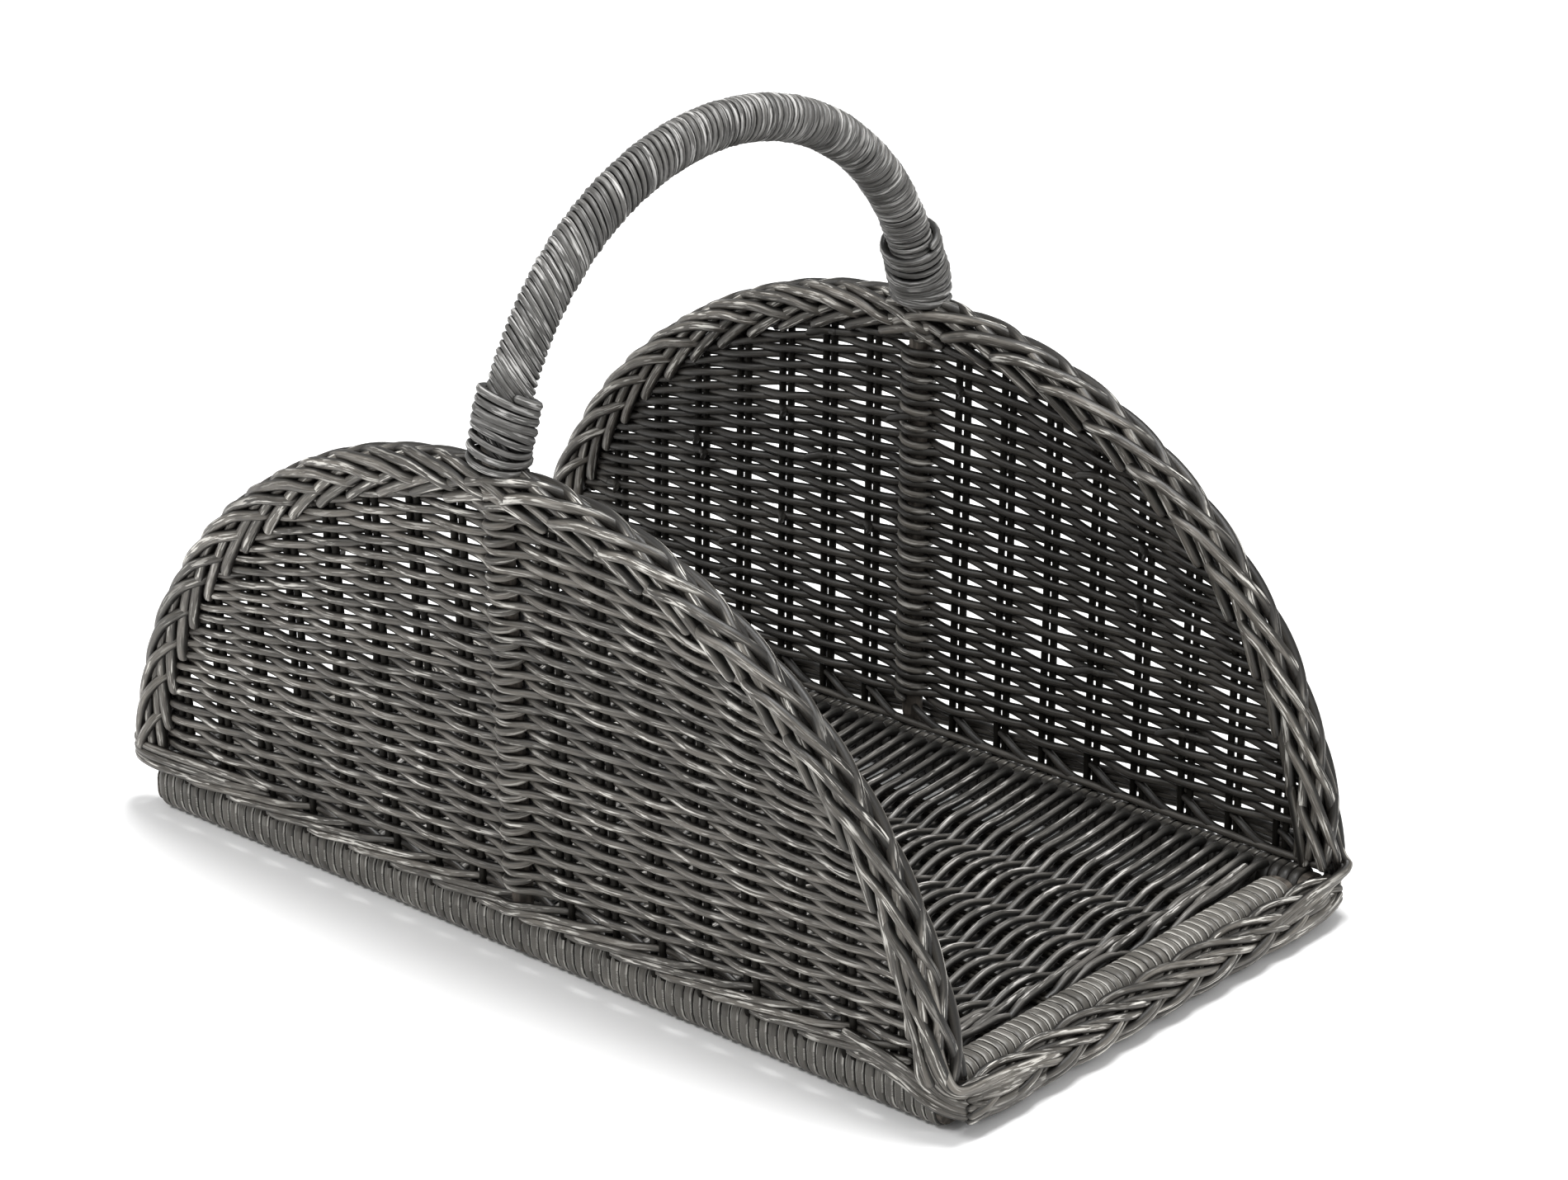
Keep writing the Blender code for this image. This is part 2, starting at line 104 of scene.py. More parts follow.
# ---- node trees ---------------------------------------------------------------------------------
class Tree:
    """A node tree being built; a value is a number, a colour or another node's output."""

    def __init__(self, tree):
        self.tree = tree

    @classmethod
    def group(cls, name, kind, sockets):
        made = cls(bpy.data.node_groups.new(name, kind))
        for label, way, socket, default in sockets:
            item = made.tree.interface.new_socket(name=label, in_out=way, socket_type=socket)
            if default is not None:
                item.default_value = default
        made.entry = made.tree.nodes.new("NodeGroupInput").outputs
        made.exit = made.tree.nodes.new("NodeGroupOutput").inputs
        return made

    def node(self, kind, values=None, **settings):
        node = self.tree.nodes.new(kind)
        for name, setting in settings.items():
            setattr(node, name, setting)
        for name, value in (values or {}).items():
            self.set(node.inputs[name], value)
        return node

    def set(self, socket, value):
        if isinstance(value, bpy.types.NodeSocket):
            self.tree.links.new(value, socket)
        else:
            socket.default_value = value

    def math(self, operation, first, second=0.0, third=0.0, clamp=False):
        node = self.node("ShaderNodeMath", {0: first, 1: second, 2: third},
                         operation=operation, use_clamp=clamp)
        return node.outputs[0]

    def vector(self, operation, first, second=(0.0, 0.0, 0.0)):
        node = self.node("ShaderNodeVectorMath", {0: first, 1: second}, operation=operation)
        return node.outputs["Value" if operation in ("DOT_PRODUCT", "LENGTH") else "Vector"]

    def combine(self, x, y, z):
        return self.node("ShaderNodeCombineXYZ", {"X": x, "Y": y, "Z": z}).outputs[0]

    def ramp(self, value, low, high, start=0.0, stop=1.0):
        """Smooth rise from start to stop as value goes from low to high."""
        node = self.node("ShaderNodeMapRange", {0: value, 1: low, 2: high, 3: start, 4: stop},
                         interpolation_type="SMOOTHSTEP")
        return node.outputs[0]

    def noise(self, where, scale=1.0, detail=2.0):
        node = self.node("ShaderNodeTexNoise", {"Vector": where, "Scale": scale, "Detail": detail})
        return node.outputs[0]

    def mix(self, amount, first, second):
        node = self.node("ShaderNodeMix", {0: amount, 6: first, 7: second}, data_type="RGBA")
        return node.outputs[2]

    def named(self, name, kind):
        return self.node("GeometryNodeInputNamedAttribute", {"Name": name}, data_type=kind).outputs[0]

    def store(self, mesh, name, kind, value):
        node = self.node("GeometryNodeStoreNamedAttribute",
                         {"Geometry": mesh, "Name": name, "Value": value},
                         data_type=kind, domain="POINT")
        return node.outputs[0]

    def capture(self, geometry, kind, name, value):
        node = self.node("GeometryNodeCaptureAttribute", {"Geometry": geometry}, domain="POINT")
        node.capture_items.new(kind, name)
        self.set(node.inputs[name], value)
        return node.outputs["Geometry"], node.outputs[name]


def rod_tree():
    """Turns centre lines into rods: round or flattened, a little uneven, and closed at their ends.

    Every rod carries what its finish needs: grain_at runs along and round it, crest is high where
    it stands proud, flank is high along its two edges and shade is its own tone."""
    tree = Tree.group("rods along lines", "GeometryNodeTree", [
        ("Geometry", "INPUT", "NodeSocketGeometry", None),
        ("Thickness", "INPUT", "NodeSocketFloat", 0.004),
        ("Flatness", "INPUT", "NodeSocketFloat", 1.0),
        ("Unevenness", "INPUT", "NodeSocketFloat", 0.1),
        ("Sides", "INPUT", "NodeSocketInt", 8),
        ("Seed", "INPUT", "NodeSocketInt", 0),
        ("Finish", "INPUT", "NodeSocketMaterial", None),
        ("Geometry", "OUTPUT", "NodeSocketGeometry", None)])
    ask = tree.entry
    line = tree.node("GeometryNodeMeshToCurve", {0: ask["Geometry"]}).outputs[0]
    facing = tree.named("facing", "FLOAT_VECTOR")
    line = tree.node("GeometryNodeSetCurveNormal", {"Curve": line, "Normal": facing},
                     mode="FREE").outputs[0]
    length = tree.node("GeometryNodeSplineParameter").outputs["Length"]
    line, along = tree.capture(line, "FLOAT", "Along", length)
    rod = tree.named("rod", "INT")
    tone = tree.node("FunctionNodeRandomValue", {"ID": rod, "Seed": ask["Seed"]}).outputs[1]
    place = tree.combine(tree.math("MULTIPLY", along, 22.0), tree.math("MULTIPLY", tone, 91.0), 0.0)
    swell = tree.math("MULTIPLY", tree.math("SUBTRACT", tree.noise(place), 0.5), ask["Unevenness"])
    swell = tree.math("MULTIPLY_ADD", swell, 2.0, 1.0)
    radius = tree.math("MULTIPLY", tree.named("girth", "FLOAT"), swell)
    radius = tree.math("MULTIPLY", radius, tree.math("MULTIPLY", ask["Thickness"], 0.5))
    profile = tree.node("GeometryNodeCurvePrimitiveCircle",
                        {"Resolution": ask["Sides"], "Radius": 1.0}).outputs[0]
    factor = tree.node("GeometryNodeSplineParameter").outputs["Factor"]
    profile, around = tree.capture(profile, "FLOAT", "Around", factor)
    shape = tree.combine(ask["Flatness"], 1.0, 1.0)
    profile = tree.node("GeometryNodeTransform", {"Geometry": profile, "Scale": shape}).outputs[0]
    mesh = tree.node("GeometryNodeCurveToMesh", {"Curve": line, "Profile Curve": profile,
                                                 "Scale": radius, "Fill Caps": True}).outputs[0]
    angle = tree.math("MULTIPLY", around, TURN)
    cosine, sine = tree.math("COSINE", angle), tree.math("SINE", angle)
    half = tree.math("MULTIPLY", ask["Thickness"], 0.5)
    grain = tree.combine(along, tree.math("MULTIPLY_ADD", cosine, half, tree.math("MULTIPLY", tone, 7.0)),
                         tree.math("MULTIPLY", sine, half))
    mesh = tree.store(mesh, "grain_at", "FLOAT_VECTOR", grain)
    normal = tree.node("GeometryNodeInputNormal").outputs[0]
    crest = tree.vector("DOT_PRODUCT", normal, tree.named("proud", "FLOAT_VECTOR"))
    # The back of a rod keeps half its crest; the finish paints shade where the crest is low.
    crest = tree.math("MAXIMUM", crest, tree.math("MULTIPLY", crest, -0.5))
    mesh = tree.store(mesh, "crest", "FLOAT", crest)
    mesh = tree.store(mesh, "flank", "FLOAT", tree.math("ABSOLUTE", sine))
    mesh = tree.store(mesh, "shade", "FLOAT", tone)
    mesh = tree.node("GeometryNodeRealizeInstances", {"Geometry": mesh}).outputs[0]
    mesh = tree.node("GeometryNodeSetShadeSmooth", {"Geometry": mesh}).outputs[0]
    mesh = tree.node("GeometryNodeSetMaterial",
                     {"Geometry": mesh, "Material": ask["Finish"]}).outputs[0]
    tree.set(tree.exit["Geometry"], mesh)
    return tree.tree


# ---- finishes -----------------------------------------------------------------------------------
def grain_group():
    """Stained grain running along a rod, with a pale dry-brushed paint catching where it is proud, painted
    shade where it turns away and along its edges, and painted highlight lines near its edges.
    """
    tree = Tree.group("stained grain", "ShaderNodeTree", [
        ("Dark", "INPUT", "NodeSocketColor", (0.02, 0.018, 0.016, 1)),
        ("Stain", "INPUT", "NodeSocketColor", (0.07, 0.065, 0.06, 1)),
        ("Paint", "INPUT", "NodeSocketColor", (0.4, 0.39, 0.37, 1)),
        ("Streaks", "INPUT", "NodeSocketFloat", 0.5),
        ("Edge Highlight", "INPUT", "NodeSocketFloat", 0.0),
        ("Grain", "INPUT", "NodeSocketFloat", 0.6),
        ("Groove", "INPUT", "NodeSocketFloat", 0.62),
        ("Tone", "INPUT", "NodeSocketFloat", 0.5),
        ("Colour", "OUTPUT", "NodeSocketColor", None),
        ("Roughness", "OUTPUT", "NodeSocketFloat", None),
        ("Height", "OUTPUT", "NodeSocketFloat", None)])
    ask = tree.entry

    def read(name, kind="Fac"):
        return tree.node("ShaderNodeAttribute", attribute_name=name).outputs[kind]

    def drawn_out(along, across, detail):
        """Noise with so many changes a metre along the rod and across it."""
        scales = (along, across, across)
        return tree.noise(tree.vector("MULTIPLY", place, scales), detail=detail)

    place = read("grain_at", "Vector")
    crest, shade, flank = read("crest"), read("shade"), read("flank")
    fine = drawn_out(70.0, 1300.0, 3.0)
    streak = drawn_out(75.0, 900.0, 4.0)
    patch = drawn_out(17.0, 70.0, 2.0)
    # The stain: dark in the grain. Painted shade keeps it light only on a rod's open side and darkens it
    # down its two edges, in the grooves between rods.
    tone = tree.math("MULTIPLY_ADD", tree.math("SUBTRACT", shade, 0.5), ask["Tone"], 1.0)
    worn = tree.math("MULTIPLY", tree.math("SUBTRACT", tree.ramp(fine, 0.3, 0.65), 1.0), ask["Grain"])
    grain_and_painted_shade = tree.math("MULTIPLY", tree.math("ADD", worn, 1.0), tree.ramp(crest, 0.0, 0.85, 0.08, 1.0))
    painted_groove_shade = tree.ramp(flank, ask["Groove"], 0.96, 1.0, 0.1)
    body = tree.mix(tree.math("MULTIPLY", grain_and_painted_shade, painted_groove_shade), ask["Dark"], ask["Stain"])
    tint = tree.node("ShaderNodeVectorMath", {0: body, "Scale": tone}, operation="SCALE").outputs[0]
    # The pale paint: dry-brushed streaks on the crests; and a painted highlight: thin pale lines along the
    # two edges of a rod.
    brushed = tree.math("MULTIPLY", tree.ramp(crest, 0.5, 0.95), tree.ramp(streak, 0.52, 0.61))
    brushed = tree.math("MULTIPLY", brushed, tree.ramp(patch, 0.42, 0.58, 0.22, 1.0))
    edge_highlight = tree.math("MULTIPLY", tree.ramp(flank, 0.50, 0.66), tree.ramp(flank, 0.86, 0.74))
    for mask in (ask["Edge Highlight"], tree.ramp(crest, 0.2, 0.6), tree.ramp(patch, 0.38, 0.52),
                 tree.ramp(streak, 0.40, 0.50)):
        edge_highlight = tree.math("MULTIPLY", edge_highlight, mask)
    paint_and_edge_highlight = tree.math("MULTIPLY_ADD", brushed, ask["Streaks"], edge_highlight, clamp=True)
    tree.set(tree.exit["Colour"], tree.mix(paint_and_edge_highlight, tint, ask["Paint"]))
    tree.set(tree.exit["Roughness"], tree.ramp(paint_and_edge_highlight, 0.0, 1.0, 0.46, 0.8))
    tree.set(tree.exit["Height"], tree.math("MULTIPLY_ADD", paint_and_edge_highlight, 0.5, fine))
    return tree.tree


def finish_from(name, group, values, bump=0.35, gloss=0.4):
    """A material that wears a finish group with its own values."""
    made = bpy.data.materials.new(name)
    made.use_nodes = True
    tree = Tree(made.node_tree)
    shader = made.node_tree.nodes["Principled BSDF"]
    look = tree.node("ShaderNodeGroup")
    look.node_tree = group
    for label, value in values.items():
        look.inputs[label].default_value = value
    tree.set(shader.inputs["Base Color"], look.outputs["Colour"])
    tree.set(shader.inputs["Roughness"], look.outputs["Roughness"])
    relief = tree.node("ShaderNodeBump", {"Strength": bump, "Distance": 0.0004,
                                          "Height": look.outputs["Height"]})
    tree.set(shader.inputs["Normal"], relief.outputs[0])
    shader.inputs["Specular IOR Level"].default_value = gloss
    return made


def colour(r, g, b):
    return (r, g, b, 1.0)


def wood_group():
    """Straight-grained wood under the stain."""
    tree = Tree.group("stained wood", "ShaderNodeTree", [
        ("Dark", "INPUT", "NodeSocketColor", (0.03, 0.025, 0.02, 1)),
        ("Light", "INPUT", "NodeSocketColor", (0.1, 0.085, 0.07, 1)),
        ("Grain", "INPUT", "NodeSocketVector", (20.0, 300.0, 300.0)),
        ("Colour", "OUTPUT", "NodeSocketColor", None),
        ("Roughness", "OUTPUT", "NodeSocketFloat", None),
        ("Height", "OUTPUT", "NodeSocketFloat", None)])
    place = tree.node("ShaderNodeTexCoord").outputs["Object"]
    value = tree.noise(tree.vector("MULTIPLY", place, tree.entry["Grain"]), detail=4.0)
    tree.set(tree.exit["Colour"], tree.mix(tree.ramp(value, 0.3, 0.7), tree.entry["Dark"],
                                           tree.entry["Light"]))
    tree.set(tree.exit["Roughness"], tree.ramp(value, 0.2, 0.8, 0.6, 0.8))
    tree.set(tree.exit["Height"], value)
    return tree.tree


grain = grain_group()
rods = rod_tree()
stained_willow = finish_from("stained willow", grain, {
    "Dark": colour(0.008, 0.0072, 0.006), "Stain": colour(0.133, 0.122, 0.106),
    "Paint": colour(0.70, 0.68, 0.63), "Streaks": 0.95, "Tone": 0.7, "Grain": 0.6})
# Painted shade: a darker copy of the stained willow, for the stakes of the panels and the floor, which
# stand in the shade of the weave.
shaded_willow = finish_from("shaded willow", grain, {
    "Dark": colour(0.008, 0.0072, 0.006), "Stain": colour(0.04, 0.037, 0.032),
    "Paint": colour(0.30, 0.29, 0.27), "Streaks": 0.3, "Tone": 0.6}, gloss=0.05)
# The handle's edge lines are a painted highlight between its wraps, and its darker edges are painted shade.
handle_willow = finish_from("handle willow", grain, {
    "Dark": colour(0.008, 0.0077, 0.0072), "Stain": colour(0.103, 0.100, 0.094),
    "Paint": colour(0.72, 0.71, 0.69), "Streaks": 0.6, "Edge Highlight": 0.22, "Tone": 0.55,
    "Grain": 0.5, "Groove": 0.5})
# Painted shade: a darker copy of the stained willow, for the floor that lies inside the basket.
floor_willow = finish_from("floor willow", grain, {
    "Dark": colour(0.006, 0.0057, 0.005), "Stain": colour(0.104, 0.098, 0.089),
    "Paint": colour(0.62, 0.60, 0.57), "Streaks": 0.85, "Tone": 0.6, "Grain": 0.6})
# The rail cane's edge lines are a painted highlight along its bands, and its dark edges are painted shade
# in the grooves between them.
rail_cane = finish_from("rail cane", grain, {
    "Dark": colour(0.012, 0.011, 0.0095), "Stain": colour(0.108, 0.101, 0.089),
    "Paint": colour(0.72, 0.70, 0.65), "Streaks": 0.10, "Edge Highlight": 0.6, "Tone": 0.5,
    "Grain": 0.35})


wood_grain = wood_group()
wood = {way: finish_from(f"stained wood {way}", wood_grain, {"Grain": scales})
        for way, scales in (("lengthwise", (20.0, 300.0, 300.0)), ("crosswise", (300.0, 20.0, 300.0)),
                            ("upright", (300.0, 300.0, 20.0)))}


# ---- gathering rods into a piece ----------------------------------------------------------------
class Rods:
    """Centre lines of the rods of one piece, with their facings, proudness and girth."""

    def __init__(self):
        self.points, self.edges = [], []
        self.facing, self.proud, self.girth, self.rod = [], [], [], []
        self.count = 0

    def add(self, points, proud, facing=None, girth=1.0, thickness=ROD, rounded=True, turn=None):
        """One rod; proud says at each point which way it stands out, and how far from 0 to 1. Where it is
        short, or the surface turns away from it, the stain is painted darker as shade. A winding rod
        gives the number of points in a turn, and each turn then has its own tone. A rounded rod narrows
        over two short steps at each end."""
        if len(points) < 2:
            return
        facing = facing or [way if way.length > 0.01 else Vector((0, 0, 1)) for way in proud]
        girths = list(girth) if isinstance(girth, (list, tuple)) else [girth] * len(points)
        points, proud, facing = list(points), list(proud), list(facing)
        if rounded:
            head = (points[0] - points[1]).normalized() * thickness / 2
            tail = (points[-1] - points[-2]).normalized() * thickness / 2
            for reach, share in ((0.55, 0.82), (0.3, 0.45)):
                points = [points[0] + head * reach] + points
                points.append(points[-1] + tail * reach)
                girths = [girth_of(girth, 0) * share] + girths + [girth_of(girth, -1) * share]
                proud = [proud[0]] + proud + [proud[-1]]
                facing = [facing[0]] + facing + [facing[-1]]
        start = len(self.points)
        self.points += points
        self.edges += [(start + i, start + i + 1) for i in range(len(points) - 1)]
        self.proud += proud
        self.facing += facing
        self.girth += girths
        turn = turn or 2 * len(points)
        self.rod += [self.count + (i + turn // 2) // turn for i in range(len(points))]
        self.count = self.rod[-1] + 1

    def make(self, name, finish, thickness, sides=8, flatness=1.0, unevenness=0.1, seed=1):
        """Build the rods by the rod tree and keep the result as one plain mesh."""
        lines = bpy.data.meshes.new(name + "_lines")
        lines.from_pydata(self.points, self.edges, [])
        for label, kind, values in (("facing", "FLOAT_VECTOR", self.facing),
                                    ("proud", "FLOAT_VECTOR", self.proud)):
            layer = lines.attributes.new(label, kind, "POINT")
            layer.data.foreach_set("vector", [part for value in values for part in value])
        lines.attributes.new("girth", "FLOAT", "POINT").data.foreach_set("value", self.girth)
        lines.attributes.new("rod", "INT", "POINT").data.foreach_set("value", self.rod)
        piece = bpy.data.objects.new(name, lines)
        bpy.context.scene.collection.objects.link(piece)
        modifier = piece.modifiers.new("rods", "NODES")
        modifier.node_group = rods
        names = {item.name: item.identifier for item in rods.interface.items_tree
                 if item.in_out == "INPUT"}
        for label, value in (("Thickness", thickness), ("Flatness", flatness), ("Sides", sides),
                             ("Unevenness", unevenness), ("Seed", seed), ("Finish", finish)):
            modifier[names[label]] = value
        depsgraph = bpy.context.evaluated_depsgraph_get()
        mesh = bpy.data.meshes.new_from_object(piece.evaluated_get(depsgraph), depsgraph=depsgraph,
                                               preserve_all_data_layers=True)
        piece.modifiers.remove(modifier)
        mesh.name = name
        piece.data = mesh
        bpy.data.meshes.remove(lines)
        return piece


def girth_of(girth, index):
    return girth[index] if isinstance(girth, (list, tuple)) else girth


def keep(piece, slot, *nodes):
    """Fix a finished piece to the basket in place of its plain solids."""
    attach(piece, "root")
    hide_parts(*nodes)


def wobble(where, seed, size):
    """A small smooth unevenness that depends on a place."""
    return noise.noise(Vector((where, seed * 3.17, 0.5))) * size


# ---- the shape of a side panel ------------------------------------------------------------------
def panel_y(z):
    """Distance of a panel's middle from the basket's middle."""
    return FOOT_Y + LEAN * max(0.0, z - RAIL_TOP)


def on_panel(side, x, z, out=0.0):
    return Vector((x, side * (panel_y(z) + out), z))


def inside_arch(x, z, margin):
    return (x / (ARCH_HALF - margin)) ** 2 + (max(0.0, z) / (ARCH_HEIGHT - margin)) ** 2 < 1


def arch_height(x, margin):
    share = 1 - (x / (ARCH_HALF - margin)) ** 2
    return (ARCH_HEIGHT - margin) * math.sqrt(max(0.0, share))


def post_bulge(x):
    """Extra room that the weave takes to pass the handle's leg."""
    return (LEG - STAKE_ROD) / 2 * math.exp(-(x / (10.5 * MM)) ** 2)


def row_height(x, level):
    rise = max(0.0, level - FIRST_ROW) / ROW_RISE
    return level - ROW_ARCH * rise ** 2 * x * x


def row_reach(level, margin):
    """How far a row runs before it meets the border."""
    low, high = 0.0, ARCH_HALF
    for _ in range(30):
        middle = (low + high) / 2
        if inside_arch(middle, row_height(middle, level), margin):
            low = middle
        else:
            high = middle
    return low


def swing_past(place, pitch, row):
    """How far a rod stands to either side of the stakes: held flat across them, quick between."""
    share = (place / pitch + row) % 2
    ramp = 1 - 2 * min(share, 2 - share)
    ramp = max(-1.0, min(1.0, ramp * 1.25))
    return 0.4 * ramp + 0.6 * math.sin(math.pi / 2 * ramp)


def facing_out(side, swing):
    """Which way a rod of a panel stands proud: outwards, and most where it passes the stakes. Less proud
    where it runs behind them, it is painted darker there as shade.
    """
    return Vector((0, side, 0)) * (0.78 + 0.22 * swing)


def weave_panel(label, side):
    """The randing of a panel: rods worked in front of one pair of stakes and behind the next."""
    made = Rods()
    chance = random.Random(11 + side)
    top_gap, border_gap, least_reach = 6 * MM, 9 * MM, 12 * MM
    room_past_stakes = 2.65 * MM
    rod_end = ((5 * MM, 2.6 * MM), (3.5 * MM, 5.4 * MM))    # steps onward and inward
    rows = int((ARCH_HEIGHT - top_gap - FIRST_ROW) / ROW_PITCH) + 1
    step = PAIR_PITCH / 9
    points, proud = [], []
    length_left = chance.uniform(0.4, 1.5)
    for row in range(rows):
        level = FIRST_ROW + row * ROW_PITCH
        reach = row_reach(level, border_gap)
        if reach < least_reach:
            continue
        count = max(2, int(round(2 * reach / step)))
        places = [-reach + 2 * reach * i / count for i in range(count + 1)]
        if row % 2:
            places.reverse()
        for i, x in enumerate(places):
            swing = swing_past(x, PAIR_PITCH, row)
            room = room_past_stakes + post_bulge(x)
            lift = wobble(x * 40, row, 0.8 * MM) + wobble(x * 9, row + 50, 1.4 * MM)
            out = room * swing + wobble(x * 60, row + 90, 0.5 * MM)
            points.append(on_panel(side, x, row_height(x, level) + lift, out))
            proud.append(facing_out(side, swing))
            length_left -= step
            if length_left < 0 and swing < -0.97 and 2 < i < count - 2:
                onward = (points[-1] - points[-2]).normalized()
                for past, inward in rod_end:
                    points.append(points[-1] + onward * past + Vector((0, -side * inward, 0)))
                    proud.append(proud[-1])
                made.add(points, proud)
                points = [points[-4] + Vector((0, -side * 0.5 * MM, 0)), points[-3].copy()]
                proud = [proud[-4], proud[-3]]
                length_left = chance.uniform(0.5, 1.5)
        end = places[-1]
        sign = 1 if end > 0 else -1
        height = row_height(end, level) + ROW_PITCH / 2
        points.append(on_panel(side, end + sign * 2.0 * MM, height, 0.0))
        proud.append(Vector((sign * 0.5, 0, 0)))
    made.add(points, proud)
    piece = made.make(f"{label}_panel_weave_rods", stained_willow, ROD, seed=3 + side)
    keep(piece, "stained_willow", f"{label}_panel_weave")


def panel_stakes(label, side):
    """Pairs of upright rods from the rail to the border."""
    made = Rods()
    apart, foot, border_gap, step = 3.2 * MM, 20 * MM, 10 * MM, 16 * MM
    for number, x in enumerate(PAIRS):
        for rod in (-1, 1):
            place = x + rod * apart
            top = arch_height(place, border_gap)
            count = max(4, int(top / step))
            points = []
            for i in range(count + 1):
                z = foot + (top - foot) * i / count
                shift = wobble(z * 12, number * 2 + rod, 0.7 * MM)
                points.append(on_panel(side, place + shift, z))
            # Painted shade: the stakes are given little proudness, so their stain stays dark and takes no
            # paint.
            made.add(points, [Vector((0, side, 0)) * 0.3] * len(points))
    piece = made.make(f"{label}_stake_rods", shaded_willow, STAKE_ROD, seed=5)
    keep(piece, "stained_willow", *[f"{label}_stakes_{n:02d}" for n in range(1, 17)])


# ---- handle leg inside the panel: a rod wound round it ------------------------------------------
def post_winding(made, side):
    """The rod round the leg, from half a turn below its start up to the border."""
    points, proud = [], []
    radius, per_turn, border_gap = (LEG + ROD) / 2, 16, 16 * MM
    start, pitch = FIRST_ROW + ROW_PITCH, 2 * ROW_PITCH
    count = int((ARCH_HEIGHT - border_gap - start) / pitch * per_turn)
    for i in range(-per_turn // 2, count):
        angle = TURN * i / per_turn
        z = start + pitch * i / per_turn
        across, out = radius * math.sin(angle), radius * math.cos(angle)
        points.append(on_panel(side, across, z, out))
        proud.append(Vector((math.sin(angle), side * math.cos(angle), 0)) * 0.8)
    made.add(points, proud, turn=per_turn)


def foot_wale(label, side):
    """The heavier band at a panel's foot: each rod passes before three pairs and behind one. A
    straight rod inside closes the gap over the rail."""
    made = Rods()
    thick = 4.7 * MM
    past_stakes = (STAKE_ROD + thick) / 2
    low, high = RAIL_TOP + 0.8 * MM, RAIL_TOP + 12.4 * MM
    over_others = 3.0 * MM        # how much further out a rod starts, over those that end there
    reach = ARCH_HALF - 15 * MM
    step = PAIR_PITCH / 8
    for strand in range(4):
        points, proud = [], []
        count = int(2 * reach / step)
        for i in range(count + 1):
            x = -reach + i * step
            phase = (x / PAIR_PITCH + strand) % 4
            if phase < 3:
                swing = min(1.0, math.sin(math.pi * phase / 3) * 2.2)
                height = low + (high - low) * phase / 3
                out = past_stakes * swing + over_others * (1 - phase / 3) + 0.4 * MM
            else:
                part = phase - 3
                swing = -math.sin(math.pi * part)
                height = high + (low - high) * (0.5 - 0.5 * math.cos(math.pi * part))
                out = past_stakes * swing
            out += post_bulge(x) * swing
            points.append(on_panel(side, x, height, out))
            # Painted shade: the wale is less proud, and so painted darker, where it passes behind the
            # stakes.
            proud.append(Vector((0, side, 0.3)) * (0.75 + 0.2 * swing))
        made.add(points, proud)
    closing, reach, count = [], ARCH_HALF + 5 * MM, 90
    for i in range(count + 1):
        height = RAIL_TOP + 2.6 * MM + wobble(i * 0.4, 7, 0.5 * MM)
        closing.append(on_panel(side, -reach + 2 * reach * i / count, height, -past_stakes))
    # Painted shade: the closing rod inside is given little proudness, so its stain stays dark.
    made.add(closing, [Vector((0, -side, 0.4)) * 0.35] * len(closing))
    post_winding(made, side)
    piece = made.make(f"{label}_foot_wale_rods", stained_willow, thick, seed=7)
    keep(piece, "stained_willow", f"{label}_foot_wale")


# ---- borders ------------------------------------------------------------------------------------
def arch_frames():
    """Points down one limb of the arch from its top, as (length, x, z, outward normal x and z)."""
    frames, length, last, count = [], 0.0, None, 400
    for i in range(count + 1):
        angle = math.pi / 2 * (1 - i / count)
        x, z = ARCH_HALF * math.cos(angle), ARCH_HEIGHT * math.sin(angle)
        normal = Vector((x / ARCH_HALF ** 2, z / ARCH_HEIGHT ** 2)).normalized()
        if last is not None:
            length += math.hypot(x - last[0], z - last[1])
        last = (x, z)
        frames.append((length, x, z, normal))
        if z < BORDER_FOOT - 2 * MM:
            break
    return frames


ARCH_FRAMES = arch_frames()
LIMB = ARCH_FRAMES[-1][0]


def limb_at(length):
    """Centre and normal of the arch at a length from its top; before the top it runs on straight."""
    if length <= 0:
        return length, ARCH_HEIGHT, Vector((0, 1))
    low, high = 0, len(ARCH_FRAMES) - 1
    if length >= LIMB:
        _, x, z, normal = ARCH_FRAMES[-1]
        return x, z - (length - LIMB), normal
    while high - low > 1:
        middle = (low + high) // 2
        if ARCH_FRAMES[middle][0] <= length:
            low = middle
        else:
            high = middle
    a, b = ARCH_FRAMES[low], ARCH_FRAMES[high]
    part = (length - a[0]) / (b[0] - a[0])
    return a[1] + (b[1] - a[1]) * part, a[2] + (b[2] - a[2]) * part, a[3].lerp(b[3], part)


# A border rod as (turns along, across, out): it comes up through the middle of one face, bends
# over its neighbours to the crest, and runs down the other face to the inner edge.
BORDER_ROD = [(-0.22, -5.5, 1.0), (-0.10, -3.6, 6.2), (0.08, -0.4, 9.2), (0.45, 5.0, 9.6),
              (0.95, 8.6, 7.6), (1.4, 10.8, 3.6), (1.75, 10.2, -1.2), (2.2, 7.2, -4.8),
              (2.8, 1.6, -5.8), (3.4, -4.4, -5.8), (3.9, -9.2, -5.0), (4.1, -11.2, -4.0)]


def border(label, side):
    """The border rods, worked down both limbs of the arch from the handle."""
    made = Rods()
    before_top = 6            # rods that start on the other limb and run over the top
    for limb in (-1, 1):
        pitch = BORDER_PITCH[limb]
        for number in range(-before_top, int(LIMB / pitch) + 1):
            for face, shift in ((1, 0.3), (-1, 0.75)):
                border_rod(made, side, limb, face, (number + shift) * pitch)
    piece = made.make(f"{label}_border_rods", stained_willow, BORDER_THICK, sides=10, seed=9)
    keep(piece, "stained_willow", f"{label}_border")


